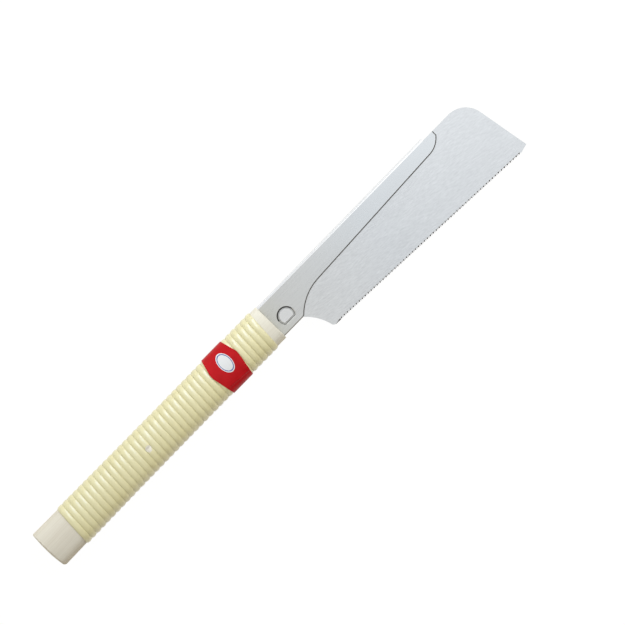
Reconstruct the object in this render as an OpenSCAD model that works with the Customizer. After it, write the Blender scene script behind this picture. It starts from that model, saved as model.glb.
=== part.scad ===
// Pull saw with a stiff folded back and a replaceable blade, lying flat on its side.
// X runs from the butt of the handle to the toe, Y points to the spine and Z points up.
// The origin is the centre of the butt face, on the plane of the blade. Sizes are in millimetres.

/* [Handle core] */
// Length of the wooden handle
handle_len = 255.9; // [220:0.1:300]
// Width of the bare wood at the butt
butt_w = 35.9; // [32:0.1:40]
// Width of the bare wood at the front
front_w = 34.4; // [32:0.2:40]
// Thickness of the handle, square to the blade
handle_t = 24; // [21:0.5:30]
// Radius of the crowned top and underside
crown_r = 30; // [24:1:60]
// Radius of the rounded rim at the butt
rim_r = 1.8; // [0.5:0.1:3]
// How far each side draws in at mid length
waist = 0.6; // [0:0.1:1]
// Depth to which the wood is dressed down under the cane
seat_depth = 0.4; // [0.2:0.1:1]
// Length of bare wood at the butt
butt_bare = 25.6; // [12:0.1:40]
// Length of bare wood at the front
front_bare = 5.8; // [3:0.1:20]

/* [Cane winding] */
// Width of the cane strip
cane_w = 5.15; // [4.5:0.05:6.5]
// Thickness of the cane strip at its crown
cane_t = 1.25; // [0.9:0.05:2]
// Least gap between two turns of the cane
cane_gap = 0.47; // [0.45:0.01:1]
// Distance of the splice from the butt
splice_in = 114.4; // [90:0.1:140]
// Gap between the two lengths of cane at the splice
splice_gap = 0.3; // [0.2:0.1:1]
// Bend radius where an end of the cane turns into the wood
tuck_r = 1.6; // [1:0.1:2.5]

/* [Label] */
// Distance of the label's middle from the front of the handle
label_in = 50.2; // [40:0.1:90]
// Length of the label over the middle of the handle
label_len_mid = 29; // [22:0.5:40]
// Length of the label at the sides of the handle
label_len_side = 21.5; // [12:0.5:30]
// Offset of the label's points towards the spine
label_skew = 3.3; // [-6:0.1:6]
// Thickness of the label film
label_t = 0.25; // [0.2:0.05:0.5]
// How far the film reaches below the plane of the blade
label_drop = 6; // [2:0.5:8]

/* [Folded back] */
// Length of the back in front of the handle
back_len = 199.7; // [170:0.5:225]
// Distance of the spine from the axis of the handle
spine_y = 16.6; // [15:0.1:18]
// Distance of the root's lower edge from the axis of the handle
root_drop = 15.5; // [14:0.1:17]
// Thickness of the sheet
leaf_t = 1.2; // [0.6:0.05:1.6]
// Depth of the round fold along the spine
fold_depth = 2.2; // [1.8:0.1:3.2]
// Length of the deep root, before the lower edge rises
root_len = 20.9; // [19:0.2:24]
// Radius of the sweep between the root and the straight edge
sweep_r = 43.4; // [40:0.2:50]
// Height of the sweep
sweep_rise = 12.8; // [10:0.1:14]
// Slope of the straight edge towards the spine, in degrees
edge_slope = 2.26; // [1:0.02:2.6]
// Radius of the tip
tip_r = 19.6; // [16:0.1:24]
// Length of the rounded tip
tip_run = 14.7; // [9:0.1:16]
// Length at the tip where the fold is cut away
relief_len = 11.2; // [6:0.2:16]
// Depth of that cut below the start of the fold
relief_depth = 0.15; // [0.05:0.05:1.5]

/* [Tang and pins] */
// Length of the tang inside the handle
tang_len = 104; // [90:1:130]
// Width of the tang
tang_w = 20; // [14:0.5:24]
// Diameter of the two tang pins
pin_d = 3; // [2:0.1:4]
// Distance of the front pin from the front of the handle
pin_in = 24; // [18:1:32]
// Distance between the two pins
pin_pitch = 52; // [30:1:55]

/* [Hook stud] */
// Distance of the stud from the front of the handle
stud_x = 12.3; // [11.5:0.1:14]
// Height of the stud above the root's lower edge
stud_up = 10.3; // [9.4:0.1:11]
// Radius of the stud
stud_r = 6.1; // [5.5:0.1:7]
// Distance of the stud's flat from its centre
stud_flat = 3.7; // [2.5:0.1:4]
// Room between the stud's round side and its window
window_gap = 1.5; // [1:0.1:2]
// Room between the stud's flat and its window
window_flat_gap = 1.4; // [0.8:0.05:2]
// Diameter of the stud's rivet shank
rivet_d = 5; // [3:0.1:6]
// Turn of the blade at which the hook comes free of the stud, in degrees
release_turn = 30; // [20:1:40]

/* [Blade] */
// Thickness of the blade
blade_t = 0.3; // [0.2:0.01:0.5]
// Reach of the blade in front of the handle
blade_reach = 244.7; // [230:0.5:275]
// Radius of the toe corner
toe_r = 20; // [8:0.5:22]
// Lean of the toe edge, in degrees
toe_lean = 9.3; // [4:0.1:14]
// Length of the plain nose at the toe
nose_len = 8.2; // [4:0.2:12]
// Height by which the nose stands off the tooth line
nose_lift = 2.5; // [0.5:0.1:3]
// Distance of the heel corner from the front of the handle
heel_x = 33.3; // [31:0.1:37]
// Distance of the heel corner from the axis of the handle
heel_drop = 38.1; // [34:0.1:42]
// Radius of the hollow heel edge
heel_r = 39; // [30:0.5:60]
// Radius of the heel corner
heel_corner_r = 3.5; // [1:0.1:6]
// Length of plain edge at the heel
heel_len = 8.3; // [4:0.1:14]
// Slope of the tooth line away from the spine, in degrees
tooth_slope = 3; // [1:0.05:4]
// Tooth pitch
tooth_pitch = 1.61; // [1.2:0.01:2.5]
// Tooth height
tooth_h = 1.3; // [0.8:0.05:1.8]

/* [Fits] */
// Clearance on each side of the blade in the folded back
side_clear = 0.1; // [0.06:0.01:0.2]
// Running clearance between the blade's hook and the stud
hook_clear = 0.2; // [0.1:0.05:0.4]
// Room between the back edge of the blade and the inside of the fold
spine_clear = 0.9; // [0.3:0.05:1.6]
// Room between the blade's hook and the root's lower edge
hook_inset = 0.2; // [0.1:0.05:0.4]
// Clearance of the tang in its recess
tang_clear = 0.1; // [0.05:0.05:0.3]
// Clearance of the pins and the rivet in their holes
pin_clear = 0.03; // [0.02:0.01:0.08]
// Clearance of the cane over the wood
cane_clear = 0.3; // [0.28:0.02:0.5]
// Clearance of the label over the cane
label_clear = 0.1; // [0.05:0.05:0.3]

/* [Hidden] */
$fn = 64;
// Overshoot of a cut past the face that it opens
over = 1;
wood_color = [0.87, 0.84, 0.77];
cane_color = [0.90, 0.87, 0.72];
label_color = [0.74, 0.09, 0.12];
steel_color = [0.79, 0.80, 0.80];
blade_color = [0.85, 0.87, 0.89];
pin_color = [0.55, 0.55, 0.56];

// Points on an arc, from angle a0 to angle a1
arc_steps = 12;
function arc(c, r, a0, a1) =
    [for (i = [0:arc_steps]) let (a = a0 + (a1 - a0) * i / arc_steps) c + r * [cos(a), sin(a)]];

// Section of the handle: an oval of two crowns and two round sides, which meet without a corner
function side_r(half_w, half_h, crown) =
    (2 * crown * half_h - half_w * half_w - half_h * half_h) / (2 * (crown - half_w));
function surface_dir(tilt) = [sin(tilt), cos(tilt)];
// Its point in Y and Z where the surface is tilted so far from the top towards the spine
function oval_yz(tilt, half_w, half_h, crown) =
    let (r = side_r(half_w, half_h, crown), c = half_w - r, dir = surface_dir(tilt))
    abs(dir[0]) * (crown - r) > c ? [sign(dir[0]) * c, 0] + r * dir
    : [0, sign(dir[1]) * (half_h - crown)] + crown * dir;

// Winding along the handle: whole turns from the underside to the underside
half_t = handle_t / 2;
cane_first_x = butt_bare + cane_w / 2;
cane_room = handle_len - front_bare - cane_w / 2 - cane_first_x;
turns = floor(cane_room / (cane_w + cane_gap));
lay = cane_room / turns;
rear_turns = round((splice_in - cane_first_x) / lay - 0.5);
front_turns = turns - 1 - rear_turns;
splice_x = cane_first_x + (rear_turns + 0.5) * lay;

// Seat of the cane in the wood
seat_x0 = butt_bare - cane_clear;
seat_x1 = handle_len - front_bare + cane_clear;
seat_half_w = min(butt_w, front_w) / 2 - waist - seat_depth;
seat_half_t = half_t - seat_depth;
seat_crown = crown_r - seat_depth;

// Section that the underside of the cane follows, at a distance x from the butt
function along(x) = x / handle_len;
function draw_in(x) = 4 * waist * along(x) * (1 - along(x));
function wood_half_w(x) = (butt_w + (front_w - butt_w) * along(x)) / 2 - draw_in(x);
function path_half_w(x) = wood_half_w(x) - seat_depth + cane_clear;
path_half_t = seat_half_t + cane_clear;
path_crown = seat_crown + cane_clear;
crown_half_t = path_half_t + cane_t;
// The saw lies on the winding, which is flattened there by a tenth of the cane's thickness
rest_z = cane_t / 10 - crown_half_t;

// Stations of one turn, as tilts of the surface from the top over the spine side to the underside and on
half_tilts = [0, 10, 20, 43, 67, 90, 113, 137, 160, 170];
turn_tilts = concat(half_tilts, [for (tilt = half_tilts) tilt + 180]);
turn_n = len(turn_tilts);
half_n = turn_n / 2;
function path_yz(tilt, x) = oval_yz(tilt, path_half_w(x), path_half_t, path_crown);
// Share of a turn that is done at each station, by length
turn_yz = [for (tilt = turn_tilts) path_yz(tilt, splice_x)];
function run_to(i) = i == 0 ? 0 : run_to(i - 1) + norm(turn_yz[i % turn_n] - turn_yz[i - 1]);
turn_len = run_to(turn_n);
turn_share = [for (i = [0:turn_n - 1]) run_to(i) / turn_len];
function in_turn(i) = i - turn_n * floor(i / turn_n);
function station_x(i) = splice_x + lay * (floor(i / turn_n) + turn_share[in_turn(i)]);
// A ring of the cane is the middle of its underside and its outward direction
function winding_ring(i) = let (tilt = turn_tilts[in_turn(i)], x = station_x(i))
    [concat([x], path_yz(tilt, x)), concat([0], surface_dir(tilt))];
// An end bends into the wood and then runs straight for the width of the strip
tuck_angles = [30, 60, 90];
function tuck_rings(ring, ahead) = let (p = ring[0], out = ring[1])
    concat([for (a = tuck_angles)
               [p + tuck_r * (sin(a) * ahead - (1 - cos(a)) * out), cos(a) * out + sin(a) * ahead]],
           [[p + tuck_r * (ahead - out) - cane_w * out, ahead]]);
// The ends at the splice lie straight on top of the handle
lay_dir = [lay / turn_len, 1, 0] / norm([lay / turn_len, 1, 0]);
function splice_ring(side) = [[splice_x, 0, path_half_t] + side * splice_gap / 2 * lay_dir, [0, 0, 1]];
front_n = turn_n * front_turns + half_n;
rear_n = turn_n * rear_turns + half_n;
front_end = winding_ring(front_n);
rear_end = winding_ring(-rear_n);
front_path = concat([splice_ring(1)], [for (i = [1:front_n]) winding_ring(i)],
                    tuck_rings(front_end, [lay_dir[0], -lay_dir[1], 0]));
rear_path = concat([splice_ring(-1)], [for (i = [1:rear_n]) winding_ring(-i)],
                   tuck_rings(rear_end, [-lay_dir[0], lay_dir[1], 0]));
// Section of the strip, flat below and domed above, in shares of its width and thickness
strip = [[-0.5, 0], [0.5, 0], [0.36, 0.6], [0, 1], [-0.36, 0.6]];
strip_n = len(strip);
function flatten(p) = [p[0], p[1], max(p[2], rest_z)];
function ring_points(r) = [for (q = strip) flatten(r[0] + [q[0] * cane_w, 0, 0] + q[1] * cane_t * r[1])];
front_rings = [for (r = front_path) ring_points(r)];
rear_rings = [for (r = rear_path) ring_points(r)];
// Least distance from a ring to the rings beside it in the next turn, over all their points
function ring_gap(a, b) = min([for (p = a, q = b) norm(p - q)]);
function self_gap(rings) = min([for (i = [0:len(rings) - turn_n - 2], k = [-1, 0, 1])
    ring_gap(rings[i], rings[i + turn_n + k])]);

// Folded back, in front of the handle
slot_half = blade_t / 2 + side_clear;
back_half_t = slot_half + leaf_t;
fold_y = spine_y - fold_depth;
// Middle of the round end of the slot inside the fold
slot_end_y = spine_y - leaf_t - slot_half;
// Section of the fold in Y and Z from its start: half an ellipse
fold_section = [for (i = [-arc_steps:arc_steps]) let (a = 90 * i / arc_steps)
    [fold_depth * cos(a), back_half_t * sin(a)]];
root_y = -root_drop;
root_end_x = handle_len + root_len;
tip_x = handle_len + back_len;
relief_x = tip_x - relief_len;
relief_y = fold_y - relief_depth;
// Bevel at the root's front corner, as its run and its rise
root_bevel = [1.8, 0.5];
// The sweep runs from the bevel into the straight edge, without a corner there
sweep_cy = root_y + sweep_rise - sweep_r * cos(edge_slope);
sweep_a0 = 180 - asin((root_y + root_bevel[1] - sweep_cy) / sweep_r);
sweep_c = [root_end_x + root_bevel[0] - sweep_r * cos(sweep_a0), sweep_cy];
sweep_end = sweep_c + sweep_r * [-sin(edge_slope), cos(edge_slope)];
// The tip's arc leaves the straight edge without a corner and ends at the tip's square edge
tip_start_x = tip_x - tip_run;
tip_start = [tip_start_x, sweep_end[1] + (tip_start_x - sweep_end[0]) * tan(edge_slope)];
tip_c = tip_start + tip_r * [-sin(edge_slope), cos(edge_slope)];
tip_a1 = -acos((tip_x - tip_c[0]) / tip_r);
leaf_outline = concat(
    [[handle_len, fold_y], [relief_x, fold_y], [relief_x, relief_y], [tip_x, relief_y]],
    arc(tip_c, tip_r, tip_a1, edge_slope - 90),
    arc(sweep_c, sweep_r, 90 + edge_slope, sweep_a0),
    [[root_end_x, root_y], [handle_len, root_y]]);
pin_xs = [handle_len - pin_in, handle_len - pin_in - pin_pitch];
pin_half_len = seat_half_t;

// Hook: the stud on the back, and the notch in the blade that catches it
stud_c = [handle_len + stud_x, root_y + stud_up];
notch_r = stud_r + hook_clear;
hook_r = stud_up - hook_inset;
// Where the hook's rounded end stops, and where the blade's back edge starts past the stud
hook_top_angle = 140;
hook_lead = 3;

// Blade outline
back_y = spine_y - leaf_t - spine_clear;
heel = [handle_len + heel_x, -heel_drop];
toe_x = handle_len + blade_reach;
function tooth_line(x) = heel[1] - (x - heel[0]) * tan(tooth_slope);
toe = [toe_x, tooth_line(toe_x) + nose_lift];
nose = [toe_x - nose_len, tooth_line(toe_x - nose_len)];
toe_arc_y = back_y - toe_r;
toe_arc_x = toe[0] - (toe_arc_y - toe[1]) * tan(toe_lean) - toe_r / cos(toe_lean);
// The hollow heel runs from the heel corner to just below the root's front corner
throat_out = [0.6, -0.4];
throat = [root_end_x, root_y] + throat_out;
heel_mid = (heel + throat) / 2;
heel_chord = throat - heel;
heel_sag = sqrt(heel_r * heel_r - heel_chord * heel_chord / 4);
heel_c = heel_mid + heel_sag * [-heel_chord[1], heel_chord[0]] / norm(heel_chord);
function angle_to(c, p) = atan2(p[1] - c[1], p[0] - c[0]);
// Teeth lean towards the handle: each is its end, its top edge and its point, in shares of pitch and height
tooth_shape = [[1, 0], [0.55, 0.78], [0.2, 1]];
tooth_along = [cos(tooth_slope), -sin(tooth_slope)];
tooth_out = [-sin(tooth_slope), -cos(tooth_slope)];
// The round heel corner touches the tooth line and the hollow heel
corner_foot = heel - heel_corner_r * tooth_out;
corner_from_hollow = corner_foot - heel_c;
corner_reach = heel_r + heel_corner_r;
corner_back = corner_from_hollow * tooth_along;
corner_run = sqrt(corner_back * corner_back - corner_from_hollow * corner_from_hollow
                  + corner_reach * corner_reach) - corner_back;
corner_c = corner_foot + corner_run * tooth_along;
tooth_first = heel + heel_len * tooth_along;
tooth_n = floor((nose - tooth_first) * tooth_along / tooth_pitch);
function tooth_point(i, q) = tooth_first + (i + q[0]) * tooth_pitch * tooth_along
    + (q[1] - 1) * tooth_h * tooth_out;
teeth = concat([for (i = [tooth_n - 1:-1:0], q = tooth_shape) tooth_point(i, q)],
               [tooth_point(0, [0, 0]), tooth_first]);
blade_outline = concat(
    [[stud_c[0] + hook_lead, back_y]],
    arc([toe_arc_x, toe_arc_y], toe_r, 90, toe_lean),
    [toe, nose], teeth,
    arc(corner_c, heel_corner_r, -90 - tooth_slope, angle_to(corner_c, heel_c)),
    arc(heel_c, heel_r, angle_to(heel_c, corner_c), angle_to(heel_c, throat)),
    [[throat[0], stud_c[1] - hook_r]],
    arc(stud_c, hook_r, 270, hook_top_angle));

// Label: half sizes inside the film, over the widest turn that it covers
label_x = handle_len - label_in;
label_half_w = max(path_half_w(label_x - label_len_mid / 2), path_half_w(label_x + label_len_mid / 2))
    + cane_t + label_clear;
label_half_t = crown_half_t + label_clear;
label_crown = path_crown + cane_t + label_clear;
label_outer_w = label_half_w + label_t;

echo(str("Least gap of the front cane to itself: ", self_gap(front_rings), " mm"));
echo(str("Least gap of the rear cane to itself: ", self_gap(rear_rings), " mm"));

// A bar along X of the handle's section
module bar(x0, x1, half_w, half_h, crown) {
    r = side_r(half_w, half_h, crown);
    c = half_w - r;
    meet_y = crown * c / (crown - r);
    translate([x0, 0, 0]) rotate([90, 0, 90]) linear_extrude(x1 - x0) {
        for (side = [-1, 1]) translate([side * c, 0]) circle(r);
        intersection() {
            square([2 * meet_y, 2 * half_h], center = true);
            translate([0, half_h - crown]) circle(crown);
            translate([0, crown - half_h]) circle(crown);
        }
    }
}

// What a rounding of radius rim_r takes off an edge along Z, at the corner x = 0, y = 0
module rim_waste(len) {
    translate([0, 0, -len / 2]) linear_extrude(len) difference() {
        translate([-over, -over]) square(rim_r + over);
        translate([rim_r, rim_r]) circle(rim_r);
    }
}

module core() {
    difference() {
        union() {
            bar(0, seat_x0, butt_w / 2, half_t, crown_r);
            bar(seat_x0, seat_x1, seat_half_w, seat_half_t, seat_crown);
            bar(seat_x1, handle_len, front_w / 2, half_t, crown_r);
        }
        for (side = [0, 1]) {
            mirror([0, side, 0]) translate([0, -butt_w / 2, 0]) rim_waste(handle_t + over);
            mirror([0, 0, side]) translate([0, 0, -half_t]) rotate([90, 0, 0]) rim_waste(butt_w + over);
        }
        tang_recess();
        for (x = pin_xs) translate([x, 0, 0])
            cylinder(r = pin_d / 2 + pin_clear, h = 2 * handle_t, center = true);
        tuck_pocket(front_end[0], -1);
        tuck_pocket(rear_end[0], 1);
    }
}

module tang_recess() {
    len = tang_len + tang_clear;
    size = [len + over, tang_w + 2 * tang_clear, 2 * (back_half_t + tang_clear)];
    translate([handle_len - len, -size[1] / 2, -size[2] / 2]) cube(size);
}

// Pocket under the handle for an end of the cane that bends towards side in Y
module tuck_pocket(p, side) {
    size_x = cane_w + 2 * (cane_clear + tuck_r * lay_dir[0]);
    size_y = tuck_r + cane_t + 2 * cane_clear;
    size_z = tuck_r + cane_w + cane_clear + over;
    translate([p[0] - size_x / 2, side > 0 ? -cane_clear : cane_clear - size_y, p[2] - over])
        cube([size_x, size_y, size_z]);
}

module core_half(side) {
    box = [handle_len + 2 * over, max(butt_w, front_w) + 2 * over, half_t + over];
    color(wood_color) intersection() {
        core();
        translate([-over, -box[1] / 2, side > 0 ? 0 : -box[2]]) cube(box);
    }
}

module core_upper() { core_half(1); }
module core_lower() { core_half(-1); }

// A strip swept through rings of points; turned is true where it runs towards the butt
module cane(rings, turned) {
    n = len(rings);
    last = (n - 1) * strip_n;
    walls = [for (i = [0:n - 2], j = [0:strip_n - 1])
        let (a = i * strip_n + j, b = i * strip_n + (j + 1) % strip_n, c = a + strip_n, d = b + strip_n)
        each [[a, b, d], [a, d, c]]];
    ends = [for (j = [1:strip_n - 2]) each [[0, j + 1, j], [last, last + j, last + j + 1]]];
    faces = concat(walls, ends);
    points = [for (r = rings) each r];
    color(cane_color)
        polyhedron(points, turned ? [for (f = faces) [f[0], f[2], f[1]]] : faces);
}

module cane_front() { cane(front_rings, false); }
module cane_rear() { cane(rear_rings, true); }

module label_band() {
    x0 = label_x - label_len_mid / 2;
    x1 = label_x + label_len_mid / 2;
    side_in = (label_len_mid - label_len_side) / 2;
    height = label_half_t + label_t + label_drop;
    color(label_color) intersection() {
        difference() {
            bar(x0, x1, label_outer_w, label_half_t + label_t, label_crown + label_t);
            bar(x0 - over, x1 + over, label_half_w, label_half_t, label_crown);
        }
        translate([0, 0, -label_drop]) linear_extrude(height + over) polygon([
            [x0, label_skew], [x0 + side_in, -label_outer_w], [x1 - side_in, -label_outer_w],
            [x1, label_skew], [x1 - side_in, label_outer_w], [x0 + side_in, label_outer_w]]);
    }
}

// The stud's outline: a round with a flat on the tooth side
module round_with_flat(r, flat) {
    intersection() {
        circle(r);
        translate([-r - over, -flat]) square([2 * (r + over), r + flat + over]);
    }
}

module leaf() {
    polygon(leaf_outline);
    tang_x0 = handle_len - tang_len;
    translate([tang_x0 + tang_w / 2, 0]) circle(tang_w / 2);
    translate([tang_x0 + tang_w / 2, -tang_w / 2]) square([tang_len - tang_w / 2, tang_w]);
}

module back_channel() {
    color(steel_color) difference() {
        union() {
            translate([0, 0, slot_half]) linear_extrude(leaf_t) leaf();
            translate([0, 0, -back_half_t]) linear_extrude(leaf_t) leaf();
            translate([handle_len, fold_y, 0]) rotate([90, 0, 90]) linear_extrude(relief_x - handle_len)
                difference() {
                    polygon(fold_section);
                    translate([slot_end_y - fold_y, 0]) circle(slot_half);
                    translate([-over, -slot_half]) square([slot_end_y - fold_y + over, 2 * slot_half]);
                }
        }
        translate([stud_c[0], stud_c[1], 0]) linear_extrude(back_half_t + over)
            round_with_flat(stud_r + window_gap, stud_flat + window_flat_gap);
        translate([stud_c[0], stud_c[1], -back_half_t - over])
            cylinder(r = rivet_d / 2 + pin_clear, h = back_half_t + over);
        for (x = pin_xs) translate([x, 0, 0])
            cylinder(r = pin_d / 2 + pin_clear, h = 4 * back_half_t, center = true);
    }
}

module hook_stud() {
    color(steel_color) translate([stud_c[0], stud_c[1], 0]) {
        translate([0, 0, -slot_half]) linear_extrude(slot_half + back_half_t)
            round_with_flat(stud_r, stud_flat);
        translate([0, 0, -back_half_t]) cylinder(r = rivet_d / 2, h = back_half_t);
    }
}

module blade() {
    color(blade_color) translate([0, 0, -blade_t / 2]) linear_extrude(blade_t) difference() {
        polygon(blade_outline);
        translate(stud_c) {
            circle(notch_r);
            rotate(release_turn) translate([-hook_r - over, -stud_flat - hook_clear])
                square([hook_r + over, stud_flat + hook_clear + notch_r]);
        }
    }
}

module tang_pin(x) {
    color(pin_color) translate([x, 0, 0]) cylinder(d = pin_d, h = 2 * pin_half_len, center = true);
}

module tang_pin_front() { tang_pin(pin_xs[0]); }
module tang_pin_rear() { tang_pin(pin_xs[1]); }

core_upper();
core_lower();
cane_front();
cane_rear();
label_band();
back_channel();
hook_stud();
blade();
tang_pin_front();
tang_pin_rear();
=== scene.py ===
import math

import bmesh
import bpy
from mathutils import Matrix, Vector


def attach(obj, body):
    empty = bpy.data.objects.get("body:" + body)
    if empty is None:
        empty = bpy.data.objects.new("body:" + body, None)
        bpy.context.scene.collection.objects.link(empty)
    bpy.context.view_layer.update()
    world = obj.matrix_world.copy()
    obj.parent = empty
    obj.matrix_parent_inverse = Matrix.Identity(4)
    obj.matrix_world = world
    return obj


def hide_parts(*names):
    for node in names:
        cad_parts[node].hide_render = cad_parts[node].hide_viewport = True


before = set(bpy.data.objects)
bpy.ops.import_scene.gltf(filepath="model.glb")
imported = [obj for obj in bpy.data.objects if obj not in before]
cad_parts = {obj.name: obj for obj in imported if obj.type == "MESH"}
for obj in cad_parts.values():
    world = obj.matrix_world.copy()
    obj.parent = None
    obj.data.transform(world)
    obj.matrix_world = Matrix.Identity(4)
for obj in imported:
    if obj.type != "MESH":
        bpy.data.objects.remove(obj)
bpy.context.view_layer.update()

# Sizes are in millimetres, as in the CAD source, and become metres where a mesh is made
MM = 0.001

# Handle
HANDLE_LEN = 255.9
BUTT_W = 35.9
FRONT_W = 34.4
HALF_T = 12.0
CROWN_R = 30.0
WAIST = 0.6
SEAT_DEPTH = 0.4
BUTT_BARE = 25.6
FRONT_BARE = 5.8
FRONT_RIM_R = 0.6
# Fall of the butt's domed face, and the share by which it is larger on the tooth side
BUTT_DOME = 0.8
BUTT_DOME_LEAN = 0.5
# Radius of the butt's rim, and the length by which it is larger on the tooth side
BUTT_RIM_R = 1.3
BUTT_RIM_LEAN = 1.5

# Cane winding; CANE_W and CANE_GAP give the lay, and the strip that shows is wider
CANE_W = 5.15
CANE_SHOWN_W = 5.56
CANE_T = 1.25
CANE_GAP = 0.47
CANE_CLEAR = 0.3
SPLICE_IN = 114.4
SPLICE_GAP = 0.1
# Share of a turn over which each length is cut on a slant at the splice: 1 is the front one, -1 the rear one
CUT_TURNS = {1: 0.02, -1: 0.036}
CUT_STEPS = 4
TUCK_R = 1.6

# Label
LABEL_IN = 50.2
LABEL_LEN_MID = 29.0
LABEL_LEN_SIDE = 21.5
LABEL_SKEW = 3.3
LABEL_T = 0.25
LABEL_DROP = 6.0
LABEL_CLEAR = 0.1
# Half the depth to which the film dips between two turns of the cane
LABEL_DIP = 0.015
# Creases along the film: height, distance from the top on the tooth side, slant and width
LABEL_CREASES = ((0.32, 13.5, 1.2, 0.8), (-0.20, 15.2, 0.8, 0.9))
# Plain oval on the film: its place from the label's middle and the saw's axis, its half axes and its ring
FIELD_IN = 1.5
FIELD_Y = 3.6
FIELD_HALF_LEN = 5.8
FIELD_HALF_W = 9.2
FIELD_RING = (0.81, 0.9)

# Folded back
BACK_LEN = 199.7
SPINE_Y = 16.6
ROOT_Y = -15.5
LEAF_T = 1.2
FOLD_DEPTH = 2.2
ROOT_LEN = 20.9
ROOT_BEVEL = (1.8, 0.5)
SWEEP_R = 43.4
SWEEP_RISE = 12.8
EDGE_SLOPE = 2.26
TIP_R = 19.6
TIP_RUN = 14.7
RELIEF_LEN = 11.2
# Width of the chamfers on the leaves and on the stud's window, and their depth as a share of it
LEAF_CHAMFER = 0.8
WINDOW_CHAMFER = 1.15
CHAMFER_FALL = 0.6
# Room between the stud and its window below the chamfer
WINDOW_SLOT = 0.6
TANG_LEN = 104.0
TANG_W = 20.0
TANG_CLEAR = 0.1
PIN_R = 1.53
PIN_IN = 24.0
PIN_PITCH = 52.0

# Hook stud
STUD_X = 12.3
STUD_UP = 10.3
STUD_R = 6.1
STUD_FLAT = 3.7
WINDOW_GAP = 1.5
RIVET_R = 2.5

# Blade
BLADE_HALF_T = 0.15
SIDE_CLEAR = 0.1
BLADE_REACH = 244.7
SPINE_CLEAR = 0.9
TOE_R = 20.0
TOE_LEAN = 9.3
NOSE_LEN = 8.2
NOSE_LIFT = 2.5
HEEL_X = 33.3
HEEL_DROP = 38.1
HEEL_R = 39.0
HEEL_CORNER_R = 3.5
HEEL_LEN = 8.3
# Where the hollow heel ends, from the root's front corner
THROAT_OUT = (0.6, -0.4)
TOOTH_SLOPE = 3.0
TOOTH_PITCH = 1.61
TOOTH_H = 1.3
TOOTH_SET = 0.12
# Corners of a tooth: shares of the pitch, of the height, of the thickness ground away and of the set
TOOTH_POINT = (0.2, 1.0, 0.9, 1.0)
TOOTH_TOP = (0.55, 0.78, 0.6, 0.8)
HOOK_CLEAR = 0.2
HOOK_INSET = 0.2
HOOK_LEAD = 3.0
HOOK_TOP_ANGLE = 140.0
RELEASE_TURN = 30.0

# Overshoot of a cutter past the face that it opens, and the distance within which two places are the same
OVER = 1.0
NEAR = 0.01
# Angle between two faces from which their edge is sharp enough for a bevel
SHARP_TURN = math.radians(35)

# Values that follow from these
HALF_SLOT = BLADE_HALF_T + SIDE_CLEAR
HALF_BACK = HALF_SLOT + LEAF_T
FOLD_Y = SPINE_Y - FOLD_DEPTH
PATH_HALF_T = HALF_T - SEAT_DEPTH + CANE_CLEAR
PATH_CROWN = CROWN_R - SEAT_DEPTH + CANE_CLEAR
CROWN_HALF_T = PATH_HALF_T + CANE_T
# The saw lies on the winding, which is flattened there by a tenth of its thickness
REST_Z = CANE_T / 10 - CROWN_HALF_T
STUD_C = Vector((HANDLE_LEN + STUD_X, ROOT_Y + STUD_UP))
HOOK_R = STUD_UP - HOOK_INSET
CANE_FIRST_X = BUTT_BARE + CANE_W / 2
CANE_ROOM = HANDLE_LEN - FRONT_BARE - CANE_W / 2 - CANE_FIRST_X
TURNS = math.floor(CANE_ROOM / (CANE_W + CANE_GAP))
LAY = CANE_ROOM / TURNS
REAR_TURNS = round((SPLICE_IN - CANE_FIRST_X) / LAY - 0.5)
SPLICE_X = CANE_FIRST_X + (REAR_TURNS + 0.5) * LAY
FRONT_TURNS = TURNS - 1 - REAR_TURNS
LABEL_X = HANDLE_LEN - LABEL_IN
PIN_XS = (HANDLE_LEN - PIN_IN, HANDLE_LEN - PIN_IN - PIN_PITCH)


# Mesh helpers

def arc(centre, radius, start, end, steps):
    """Points in a plane on an arc from angle start to angle end, in degrees."""
    points = []
    for i in range(steps + 1):
        angle = math.radians(start + (end - start) * i / steps)
        points.append(Vector((centre[0] + radius * math.cos(angle), centre[1] + radius * math.sin(angle))))
    return points


def circle(centre, radius, steps=48):
    """Points in a plane on a whole circle."""
    return arc(centre, radius, 0, 360 - 360 / steps, steps - 1)


def scene_object(name, data):
    """An object in the scene, of a mesh, a lamp or a camera."""
    made = bpy.data.objects.new(name, data)
    bpy.context.scene.collection.objects.link(made)
    return made


def mesh_object(name, points, faces):
    """A mesh object of points in millimetres, with its faces turned outwards."""
    mesh = bpy.data.meshes.new(name)
    mesh.from_pydata([Vector(p) * MM for p in points], [], faces)
    work = bmesh.new()
    work.from_mesh(mesh)
    bmesh.ops.recalc_face_normals(work, faces=work.faces)
    work.to_mesh(mesh)
    work.free()
    return scene_object(name, mesh)


def prism(name, outline, low, high):
    """An outline in X and Y, raised from low to high in Z."""
    count = len(outline)
    points = [(p[0], p[1], z) for z in (low, high) for p in outline]
    walls = [(i, (i + 1) % count, count + (i + 1) % count, count + i) for i in range(count)]
    return mesh_object(name, points, [tuple(range(count)), tuple(range(count, 2 * count)), *walls])


def loft(rings):
    """Points and faces of a closed skin through rings of as many points each, with both ends closed."""
    count = len(rings[0])
    points = [p for ring in rings for p in ring]
    faces = []
    for k in range(len(rings) - 1):
        for j in range(count):
            a, b = k * count + j, k * count + (j + 1) % count
            faces.append((a, b, b + count, a + count))
    last = (len(rings) - 1) * count
    faces.append(tuple(range(count)))
    faces.append(tuple(range(last, last + count)))
    return points, faces


def bake(obj):
    """Turns the object's modifiers into its mesh."""
    shown = obj.evaluated_get(bpy.context.evaluated_depsgraph_get())
    baked = bpy.data.meshes.new_from_object(shown)
    obj.modifiers.clear()
    obj.data = baked


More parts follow.
